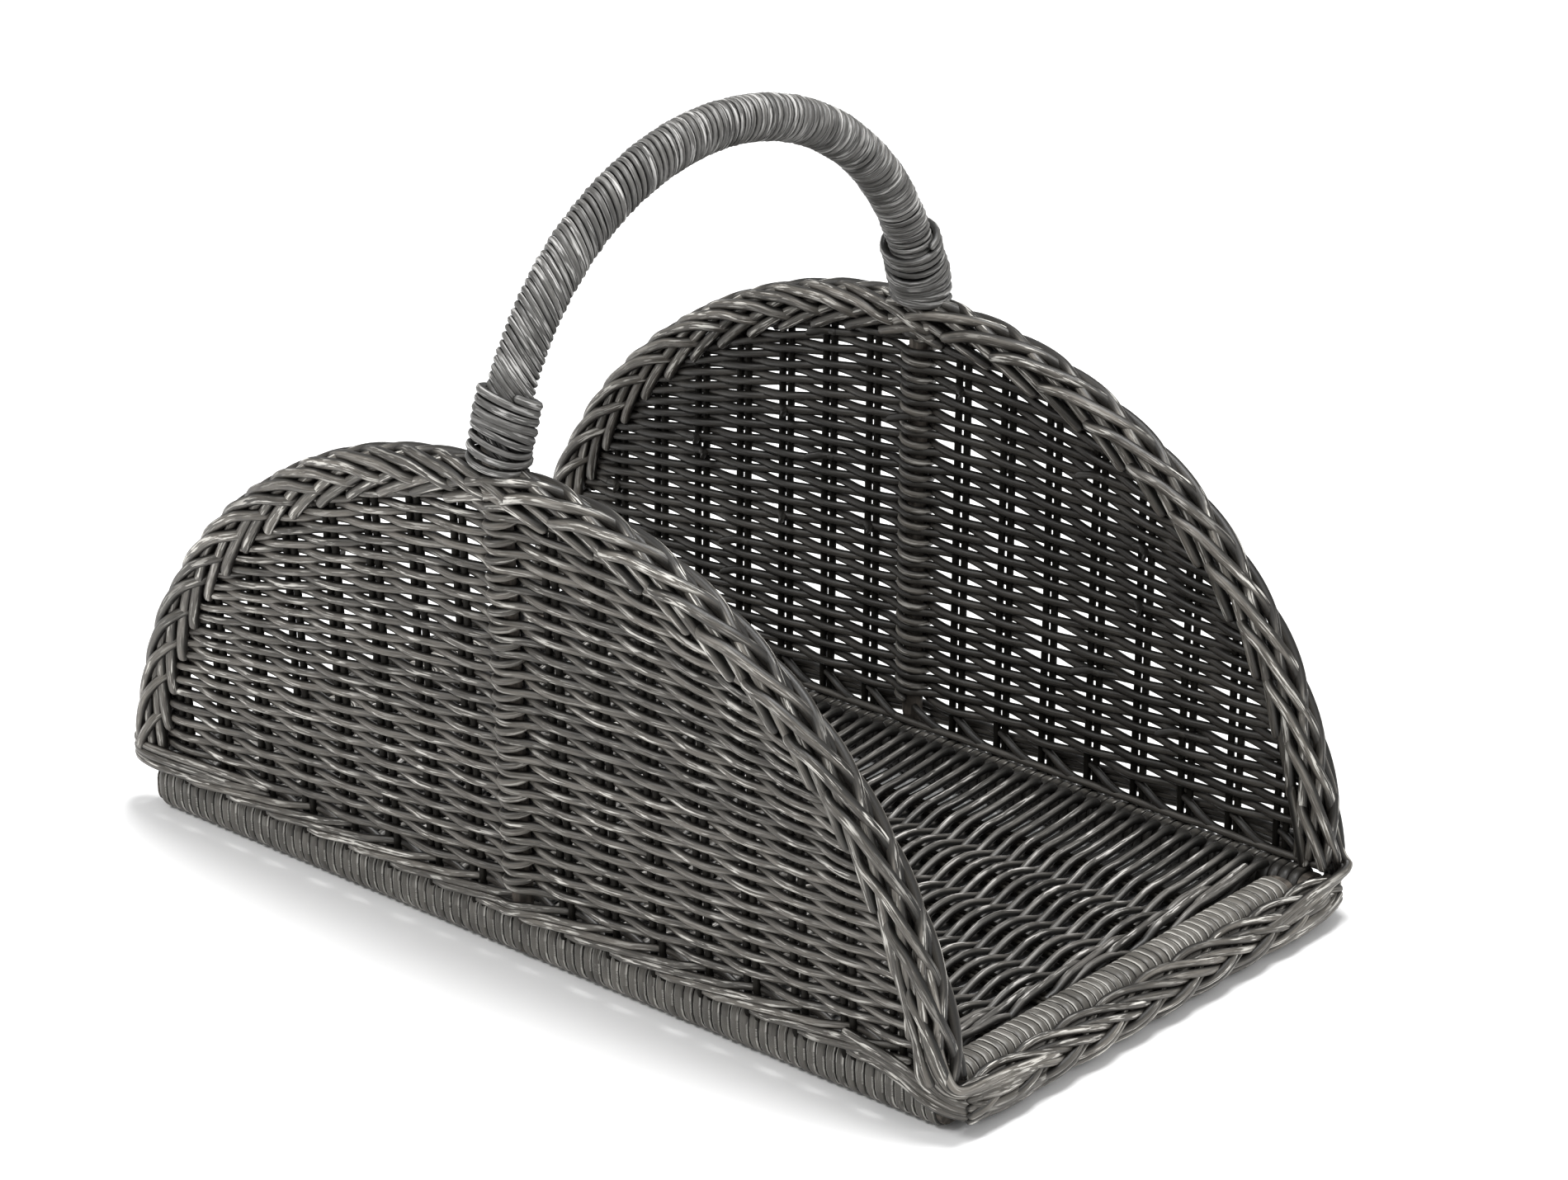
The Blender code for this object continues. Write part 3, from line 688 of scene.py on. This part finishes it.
def border_rod(made, side, limb, face, start):
    """One border rod on the outer face (1) or the inner one (-1), from its start along a limb."""
    stray = wobble(start * 50, limb + face * 7, 2.4 * MM)
    half_width, half_depth = 14 * MM, 5 * MM
    first, last = -15 * MM, LIMB - (3 if limb > 0 else 12) * MM
    line = smooth_line([Vector((along * BORDER_TURN + start, across * MM, out * MM))
                        for along, across, out in BORDER_ROD], 4)
    points, proud = [], []
    for length, across, out in line:
        if not first <= length <= last:
            continue
        x, z, normal = limb_at(length)
        across += stray * (1 - abs(across) / (12 * MM))
        points.append(on_panel(side, limb * (x + normal.x * across), z + normal.y * across, face * out))
        way = Vector((limb * normal.x * across / half_width, side * face * out / half_depth,
                      normal.y * across / half_width))
        proud.append(way.normalized() * PROUD)
    made.add(points, proud, facing=[Vector((0, side, 0))] * len(points), thickness=BORDER_THICK,
             girth=1.0 + wobble(start * 31, limb, 0.16))


# Rods that turn a corner, as knots past the corner, outwards and up, in millimetres, each with
# its change from one rod to the next.
BORDER_ROUND = [((-5, 3.2), (6, -1.0), (31, 1.4)), ((6, 2.2), (-6, 1.0), (20, 2.4)),
                ((16, -0.5), (-24, -3), (19, 1.6)), ((15, 0), (-48, -6), (17, 1.0)),
                ((8, 0), (-70, -6), (15, 0))]
WALE_ROUND = [((-60, 0), (1, 0), (31, 3.6)), ((-24, 0), (4.5, 0), (27, 4)),
              ((-2, 0), (5.5, -1.0), (20, 4)), ((11, 0), (-5, 0), (13, 3.4)),
              ((15, 1), (-26, 0), (9, 2.6)), ((15, 0), (-56, -6), (8, 2)), ((8, 0), (-84, -6), (10, 0))]
WALE_LOOP = [((-96, 0), (-1, 0), (31.5, 5)), ((-46, 0), (3, 0), (31.5, 5)), ((-4, 0), (5.6, 0), (32, 5)),
             ((12, 0), (-1, 0), (32.5, 5)), ((11, 0), (-13, 0), (31.5, 5)), ((-12, 0), (-20, 0), (29.5, 5))]
# Where the border's rods leave it at a front corner: along the limb from its foot, and across it.
BORDER_LEAVES = [((-100, 9), (-8, 4.4)), ((-76, 9), (-9.5, 5)), ((-28, 0), (-7.5, 3.6))]


def round_corner(knots, n):
    """The knots of rod n round the corner on the positive side of both axes."""
    return [Vector((HALF_LENGTH + (past + d_past * n) * MM, HALF_WIDTH + (out + d_out * n) * MM,
                    (up + d_up * n) * MM)) for (past, d_past), (out, d_out), (up, d_up) in knots]


def border_leaves(n):
    """Border rod n on its way down to a front corner; every other one stands further out."""
    line = []
    for number, ((length, lengthen), (across, widen)) in enumerate(BORDER_LEAVES):
        out = 2 if number == 0 else 5 + 3.5 * (n % 2)
        along, height, normal = limb_at(LIMB + (length + lengthen * n) * MM)
        across = (across + widen * n) * MM
        line.append(on_panel(1, along + normal.x * across, height + normal.y * across, out * MM))
    return line


def corner_rods(made, side, end):
    """The rods that turn a corner: at the front the border's and the foot wale's rods run on into
    the edge plait, and at the back the foot wale loops round the rail's end."""
    if end > 0:
        lines = [border_leaves(n) + round_corner(BORDER_ROUND, n) for n in range(5)]
        lines += [round_corner(WALE_ROUND, n) for n in range(3)]
        along, height, _ = limb_at(LIMB - 84 * MM)
        inner_rod = [Vector((along - 9 * MM, panel_y(height) - 3 * MM, height)),
                     Vector((HALF_LENGTH - 13.5 * MM, panel_y(50 * MM) - 7 * MM, 52 * MM)),
                     Vector((HALF_LENGTH - 9 * MM, HALF_WIDTH - 9 * MM, 27 * MM))]
        lines.append(inner_rod)
    else:
        lines = [round_corner(WALE_LOOP, n) for n in range(3)]
        lines[1][2].y += 0.5 * MM
    for knots in lines:
        points = smooth_line([Vector((end * knot.x, side * knot.y, knot.z)) for knot in knots], 6)
        proud, turns_over = [], 12 * MM
        for point in points:
            past = max(0.0, abs(point.x) - HALF_LENGTH + turns_over)
            way = Vector((end * past, side * 14 * MM, 6 * MM))
            if abs(point.y) < HALF_WIDTH - 8 * MM:
                way = Vector((end, 0, 0.35))
            proud.append(way.normalized() * PROUD)
        made.add(points, proud, girth=1.1)


def smooth_line(knots, steps):
    """A smooth line through a few knots."""
    points = []
    ends = [2 * knots[0] - knots[1]] + list(knots) + [2 * knots[-1] - knots[-2]]
    for a, b, c, d in zip(ends, ends[1:], ends[2:], ends[3:]):
        for i in range(steps):
            t = i / steps
            points.append(0.5 * ((2 * b) + (c - a) * t + (2 * a - 5 * b + 4 * c - d) * t * t
                                 + (3 * b - a - 3 * c + d) * t ** 3))
    points.append(knots[-1].copy())
    return points


# ---- plaits along the open ends -----------------------------------------------------------------
PLAIT_ROD, PLAIT_PERIOD, PLAIT_LEVEL = 4.9 * MM, 165 * MM, 17 * MM
PLAIT_STRANDS = 5
PLAIT_SWAY, PLAIT_ROLL = 8.0 * MM, 3.4 * MM   # how far a strand goes up and down, and out and in
PLAIT_GAP = 4.8 * MM          # between the two rods of a strand


def edge_plait(label, end):
    """The plait along an open end: five flat strands of two rods, two straight rods that lash it
    to the rail, and the rods round its corners. The back one is shorter and lies closer."""
    made = Rods()
    corner_gap, closer = (8 * MM, 0.0) if end > 0 else (34 * MM, 2.5 * MM)
    centre_x = end * ((abs(plait_low.x) + abs(plait_high.x)) / 2 - closer)
    half = plait_high.y - corner_gap
    count = int(2 * half / (5 * MM))
    places = [-half + 2 * half * i / count for i in range(count + 1)]
    for strand in range(PLAIT_STRANDS):
        for rod in (-0.5, 0.5):
            points, proud = [], []
            for y in places:
                phase = TURN * (y / PLAIT_PERIOD + strand / PLAIT_STRANDS)
                slope = math.atan(PLAIT_SWAY * TURN / PLAIT_PERIOD * math.cos(phase))
                gap = rod * PLAIT_GAP
                up = PLAIT_SWAY * math.sin(phase) + gap * math.cos(slope)
                out = PLAIT_ROLL * (1 - (up / (12 * MM)) ** 2 - math.sin(2 * phase))
                out += rod * 0.8 * MM + wobble(y * 30, strand, 0.8 * MM)
                out -= 5.0 * MM * (max(0.0, up) / (10 * MM)) ** 1.5      # the top leans to the rail
                fade = 1 - 0.2 * (abs(y) / half) ** 12
                points.append(Vector((centre_x + end * out * fade, y - gap * math.sin(slope),
                                      PLAIT_LEVEL + up * fade)))
                proud.append(Vector((end * 8 * MM, 0, up)).normalized() * PROUD)
            made.add(points, proud, facing=[Vector((end, 0, 0))] * len(points))
    for level in (12 * MM, 18 * MM):
        lashing = [Vector((end * (HALF_LENGTH + 2.4 * MM), -half + 2 * half * i / 20, level))
                   for i in range(21)]
        # Painted shade: the lashing rods are given little proudness, so their stain stays dark.
        made.add(lashing, [Vector((end, 0, 0.5)) * 0.3] * len(lashing))
    for side in SIDES.values():
        corner_rods(made, side, end)
    piece = made.make(f"{label}_edge_plait_rods", stained_willow, PLAIT_ROD, seed=13)
    keep(piece, "stained_willow", f"{label}_edge_plait")


# ---- wrapped rails ------------------------------------------------------------------------------
SQUARE = 3.0                  # how square a rail's section is; 2 would make it an ellipse
CANE_INSET, WOOD_INSET = 2.1 * MM, 2.2 * MM   # middle of the cane and face of the wood, below the rail's
LONG_CANE = {"thickness": 6.7 * MM, "flatness": 0.6, "seed": 17}
END_CANE = {"thickness": 5.8 * MM, "flatness": 0.5, "seed": 19}
LONG_PITCH, END_PITCH = 6.6 * MM, 5.6 * MM


def rail_section(angle):
    return [math.copysign(abs(part) ** (2 / SQUARE), part) for part in (math.cos(angle), math.sin(angle))]


def rail_wood(label, axis, centre, half_wide, half_high, reach, finish, *nodes):
    """The rail itself under its cane."""
    corners, count = [], 28
    for place in (-reach, reach):
        for i in range(count):
            a, b = rail_section(TURN * i / count)
            where = [0.0, 0.0, centre[2] + b * half_high]
            where[axis], where[1 - axis] = place, centre[1 - axis] + a * half_wide
            corners.append(where)
    faces = [(i, (i + 1) % count, count + (i + 1) % count, count + i) for i in range(count)]
    faces += [tuple(reversed(range(count))), tuple(range(count, 2 * count))]
    if axis == 1:
        faces = [tuple(reversed(face)) for face in faces]
    mesh = bpy.data.meshes.new(label)
    mesh.from_pydata(corners, [], faces)
    mesh.materials.append(finish)
    piece = bpy.data.objects.new(label, mesh)
    bpy.context.scene.collection.objects.link(piece)
    keep(piece, "bare_rail_wood", *nodes)


def rail_band(made, axis, centre, half_wide, half_high, start, stop, pitch, shaded=0):
    """A cane wound round a rail whose faces swell a little; axis is 0 for X and 1 for Y, and the
    side called shaded lies in the dark under the weave."""
    wide, high = half_wide - CANE_INSET, half_high - CANE_INSET
    outline, count = [], 20
    for i in range(count):
        angle = TURN * (i + 0.5) / count
        a, b = rail_section(angle)
        normal = Vector((math.copysign(abs(a) ** (SQUARE - 1), a) / wide,
                         math.copysign(abs(b) ** (SQUARE - 1), b) / high)).normalized()
        outline.append((a * wide, b * high, normal.x, normal.y))
    turns = int((stop - start) / pitch)
    pitch = (stop - start) / turns
    points, proud, girth = [], [], []
    for i in range(turns * count + 1):
        a, b, na, nb = outline[i % count]
        turn = i / count
        along = start + pitch * turn
        where = [0.0, 0.0, centre[2] + b]
        where[axis], where[1 - axis] = along, centre[1 - axis] + a
        out = Vector((0.0, 0.0, nb))
        out[1 - axis] = na
        points.append(Vector(where))
        # Painted shade: on the shaded side the cane gets little proudness, so its stain stays dark.
        proud.append(out * (0.12 if a * shaded > 0.1 * wide else 1.0))
        girth.append(1.0 + wobble(turn * 1.3, 8, 0.10))
    made.add(points, proud, girth=girth, rounded=False, turn=count)


def rail(label, axis, centre, reach, bare, pitch, cane, finish, shaded=0):
    """One rail and its cane, which leaves a little of each end bare."""
    made = Rods()
    rail_band(made, axis, centre, RAIL_WIDTH / 2, RAIL_TOP / 2, bare - reach, reach - bare, pitch, shaded)
    piece = made.make(f"{label}_rail_cane", rail_cane, sides=12, unevenness=0.05, **cane)
    keep(piece, "rail_cane", f"{label}_rail_wrap")
    kind = "long" if axis == 0 else "end"
    rail_wood(f"{label}_rail_wood", axis, centre, RAIL_WIDTH / 2 - WOOD_INSET,
              RAIL_TOP / 2 - WOOD_INSET, reach, finish, f"{label}_{kind}_rail")


def rails():
    for label, side in SIDES.items():
        centre = (0.0, side * (HALF_WIDTH - RAIL_WIDTH / 2), RAIL_TOP / 2)
        rail(label, 0, centre, HALF_LENGTH, 3.2 * MM, LONG_PITCH, LONG_CANE, wood["lengthwise"], -side)
    for label, end in ENDS.items():
        centre = (end * (HALF_LENGTH - RAIL_WIDTH / 2), 0.0, RAIL_TOP / 2)
        rail(label, 1, centre, end_high.y, 2.6 * MM, END_PITCH, END_CANE, wood["crosswise"])


# ---- floor --------------------------------------------------------------------------------------
def floor():
    """Weavers across the basket, over and under the groups of lengthwise rods. Every other one
    runs on to the long rails and turns over their inner edges."""
    made = Rods()
    half_x = HALF_LENGTH - RAIL_WIDTH - 3 * MM
    inner = HALF_WIDTH - RAIL_WIDTH
    outer_group = FLOOR_GROUPS[-1]
    past_group = outer_group + 7 * MM
    pitch, over_group, lip = 5.3 * MM, 5.2 * MM, RAIL_TOP + 0.6 * MM - FLOOR_LEVEL
    count = int(2 * half_x / pitch)
    for n in range(count + 1):
        x = -half_x + 2 * half_x * n / count
        points, proud, girth = [], [], []
        half_y = inner + 6 * MM if n % 2 == 0 else inner - 2.5 * MM
        steps = int(2 * half_y / (4.6 * MM))
        for i in range(steps + 1):
            y = -half_y + 2 * half_y * i / steps
            swing = swing_past(y, FLOOR_PITCH, n)
            if abs(y) > outer_group:
                swing = swing_past(outer_group, FLOOR_PITCH, n)
            rise = over_group * swing
            rim = max(0.0, (abs(y) - past_group) / (inner - past_group))   # 1 at the rail's edge
            if n % 2 == 0 and rim > 0:
                rise += (lip - rise) * min(1.0, rim) ** 1.2 - 1.6 * MM * max(0.0, rim - 1) / 0.14
            shift = wobble(y * 14, n, 0.8 * MM)
            points.append(Vector((x + shift, y, FLOOR_LEVEL + rise + wobble(y * 30, n + 40, 0.4 * MM))))
            if n % 2:
                rise -= 3.0 * MM * min(1.0, rim * 3)
            # Painted shadow: proudness, and with it the stain's lightness, is cut near the far rail and on
            # every other weaver where it ends near the rails.
            shadow = 1 - 0.75 * min(1.0, max(0.0, (y - inner + 14 * MM) / (14 * MM)))
            shadow *= 1 - 0.95 * min(1.0, rim * 6) * (n % 2)
            proud.append(Vector((0, 0, 0.78 + 0.22 * swing)) * shadow)
            girth.append(1.0 + 1.6 * max(0.0, rim - 0.9))
        made.add(points, proud, girth=girth)
    for end in ENDS.values():
        floor_wale(made, end, inner - 2 * MM)
    piece = made.make("floor_weave_rods", floor_willow, 4.7 * MM, seed=23)
    keep(piece, "stained_willow", "floor_weave")
    made = Rods()
    reach, apart, count = floor_high.x, 4.2 * MM, 29
    for group in FLOOR_GROUPS:
        for rod in (-1, 0, 1):
            points = []
            for i in range(count + 1):
                x = -reach + 2 * reach * i / count
                points.append(Vector((x, group + rod * apart + wobble(x * 9, rod, 0.6 * MM),
                                      FLOOR_LEVEL)))
            # Painted shade: the floor's stakes are given half proudness, so their stain stays dark and
            # takes no paint.
            made.add(points, [Vector((0, 0, 0.5))] * len(points))
    piece = made.make("floor_stake_rods", shaded_willow, 3.8 * MM, seed=29)
    keep(piece, "stained_willow", *[f"floor_stakes_{n}" for n in range(1, 6)])


def floor_wale(made, end, half_y):
    """Three heavier rods worked together beside an end rail, over two groups and under one."""
    inner = HALF_LENGTH - RAIL_WIDTH
    lift, nearest, sideways = 4.6 * MM, 2.5 * MM, 10 * MM
    steps = int(2 * half_y / (5 * MM))
    for strand in range(3):
        points, proud = [], []
        for i in range(steps + 1):
            y = -half_y + 2 * half_y * i / steps
            phase = (y / FLOOR_PITCH * 1.2 + strand) % 3
            if phase < 2:
                part = phase / 2
                height = lift * min(1.0, math.sin(math.pi * part) * 1.8)
                away = nearest + sideways * part
            else:
                part = phase - 2
                height = -lift * math.sin(math.pi * part)
                away = nearest + sideways * (1 - part)
            points.append(Vector((end * (inner - away), y, FLOOR_LEVEL + 1 * MM + height)))
            # Painted shade: where the wale dips under a group, its proudness, and so its stain, goes dark.
            proud.append(Vector((0, 0, 1)) * max(0.0, height) / lift)
        made.add(points, proud, girth=1.06)


# ---- handle -------------------------------------------------------------------------------------
def handle_frames():
    """Points over the handle from the near border to the far one, as (length, y, z, outward)."""
    ellipse, count, bend_in = [], 800, 22 * MM
    first = math.asin((ARCH_TOP - HANDLE_SPRING) / HANDLE_RISE)
    for i in range(count + 1):
        angle = math.pi - first - (math.pi - 2 * first) * i / count
        y, z = HANDLE_SPAN * math.cos(angle), HANDLE_SPRING + HANDLE_RISE * math.sin(angle)
        blend = min(1.0, max(0.0, (z - ARCH_TOP) / bend_in))
        blend = blend * blend * (3 - 2 * blend)
        straight = math.copysign(panel_y(z), y)
        ellipse.append(Vector((straight + (y - straight) * blend, z)))
    frames, length = [], 0.0
    for i, point in enumerate(ellipse):
        if i:
            length += (point - ellipse[i - 1]).length
        run = (ellipse[min(i + 1, count)] - ellipse[max(i - 1, 0)]).normalized()
        frames.append((length, point.x, point.y, Vector((-run.y, run.x))))
    return frames


HANDLE_FRAMES = handle_frames()
HANDLE_LENGTH = HANDLE_FRAMES[-1][0]
LEANING = math.radians(138)   # the way round the handle in which its turns lean


def handle_at(length):
    """Centre (y, z) and outward direction of the handle at a length from the near border."""
    place = min(max(length / HANDLE_LENGTH, 0.0), 1.0) * (len(HANDLE_FRAMES) - 1)
    low = min(int(place), len(HANDLE_FRAMES) - 2)
    while low > 0 and HANDLE_FRAMES[low][0] > length:
        low -= 1
    while low < len(HANDLE_FRAMES) - 2 and HANDLE_FRAMES[low + 1][0] < length:
        low += 1
    a, b = HANDLE_FRAMES[low], HANDLE_FRAMES[low + 1]
    part = (length - a[0]) / (b[0] - a[0])
    return a[1] + (b[1] - a[1]) * part, a[2] + (b[2] - a[2]) * part, a[3]


def wind(made, start, stop, pitch, radius, slant, per_turn=22):
    """A rod wound round the handle; slant(length) is how far a turn leans along it."""
    points, proud = [], []
    turns = (stop - start) / pitch
    for i in range(int(turns * per_turn) + 1):
        angle = TURN * i / per_turn
        base = start + pitch * i / per_turn
        length = base + slant(base) * math.cos(angle - LEANING)
        y, z, out = handle_at(length)
        way = Vector((math.cos(angle), out.x * math.sin(angle), out.y * math.sin(angle)))
        points.append(Vector((0.0, y, z)) + way * radius)
        proud.append(way)
    girth = [1.0 + wobble(i / per_turn * 0.7, 5, 0.24) for i in range(len(points))]
    made.add(points, proud, girth=girth, turn=per_turn)


def handle():
    """The winding from collar to collar, which leans most near the near collar, and the collars."""
    made = Rods()
    end_gap, near_lean, far_lean, lean_fades = 4 * MM, 9.0 * MM, 1.0 * MM, 170 * MM

    def wrap_slant(length):
        return near_lean * math.exp(-(length / lean_fades) ** 2) + far_lean

    wind(made, end_gap, HANDLE_LENGTH - end_gap, WRAP_PITCH, (GRIP - WRAP_ROD) / 2, wrap_slant)
    piece = made.make("handle_wrap_rod", handle_willow, WRAP_ROD, unevenness=0.08, seed=31)
    keep(piece, "handle_willow", "handle_wrap")
    collar_lean = 2.6 * MM
    for label, side in SIDES.items():
        made = Rods()
        low, high = 0.5 * MM, COLLAR_HEIGHT - 1 * MM
        if side > 0:
            low, high = HANDLE_LENGTH - high, HANDLE_LENGTH - low
        wind(made, low, high, (high - low) / COLLAR_TURNS, (GRIP + COLLAR_ROD) / 2,
             lambda length: -side * collar_lean)
        piece = made.make(f"{label}_collar_rod", handle_willow, COLLAR_ROD, seed=37)
        keep(piece, "handle_willow", f"{label}_collar")


# ---- camera, floor and lights -------------------------------------------------------------------
VIEW_ANGLES = (41.776, 23.171, -0.581)        # round the basket, up and roll, in degrees
VIEW_TARGET, VIEW_DISTANCE, VIEW_LENS = Vector((34.2, 12.7, 168.8)) * MM, 2.7262, 114.19
# name, place, height aimed at, size and power
LIGHTS = (("key", (-0.9, -1.9, 2.3), 0.15, 0.8, 32), ("fill", (2.4, -0.4, 1.7), 0.15, 1.4, 17),
          ("top", (0.2, 0.3, 2.8), 0.1, 1.1, 90))
PALE = 0.93


def camera():
    azimuth, elevation, roll = (math.radians(angle) for angle in VIEW_ANGLES)
    back = Vector((math.sin(azimuth) * math.cos(elevation), -math.cos(azimuth) * math.cos(elevation),
                   math.sin(elevation)))
    right = Vector((math.cos(azimuth), math.sin(azimuth), 0))
    up = back.cross(right)
    turned = Matrix((right, up, back)).transposed().to_4x4() @ Matrix.Rotation(roll, 4, "Z")
    lens = bpy.data.cameras.new("camera")
    lens.lens, lens.sensor_width = VIEW_LENS, 36.0
    lens.clip_end = 50.0
    view = bpy.data.objects.new("camera", lens)
    view.matrix_world = Matrix.Translation(VIEW_TARGET + back * VIEW_DISTANCE) @ turned
    bpy.context.scene.collection.objects.link(view)
    bpy.context.scene.camera = view


def area_light(name, place, aim, size, power):
    light = bpy.data.lights.new(name, "AREA")
    light.shape, light.size, light.energy = "DISK", size, power
    lamp = bpy.data.objects.new(name, light)
    place, aim = Vector(place), Vector(aim)
    turn = (place - aim).to_track_quat("Z", "Y")
    lamp.matrix_world = Matrix.Translation(place) @ turn.to_matrix().to_4x4()
    bpy.context.scene.collection.objects.link(lamp)


def studio():
    mesh = bpy.data.meshes.new("studio_floor")
    half = 12.0
    mesh.from_pydata([(-half, -half, 0), (half, -half, 0), (half, half, 0), (-half, half, 0)], [],
                     [(0, 1, 2, 3)])
    ground = bpy.data.objects.new("studio_floor", mesh)
    bpy.context.scene.collection.objects.link(ground)
    pale = bpy.data.materials.new("pale floor")
    pale.use_nodes = True
    shader = pale.node_tree.nodes["Principled BSDF"]
    shader.inputs["Base Color"].default_value = (PALE, PALE, PALE, 1)
    shader.inputs["Roughness"].default_value = 0.9
    shader.inputs["Specular IOR Level"].default_value = 0.1
    mesh.materials.append(pale)
    world = bpy.data.worlds.new("studio")
    bpy.context.scene.world = world
    world.use_nodes = True
    world.node_tree.nodes["Background"].inputs["Color"].default_value = (1, 1, 1, 1)
    world.node_tree.nodes["Background"].inputs["Strength"].default_value = 0.5
    for name, place, aim_height, size, power in LIGHTS:
        area_light(name, place, (0, 0, aim_height), size, power)
    bpy.context.scene.view_settings.view_transform = "Standard"


camera()
studio()
for side_label, side_sign in SIDES.items():
    weave_panel(side_label, side_sign)
    panel_stakes(side_label, side_sign)
    foot_wale(side_label, side_sign)
    border(side_label, side_sign)
for end_label, end_sign in ENDS.items():
    edge_plait(end_label, end_sign)
rails()
floor()
handle()
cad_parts["handle_rod"].material_slots[0].material = wood["upright"]
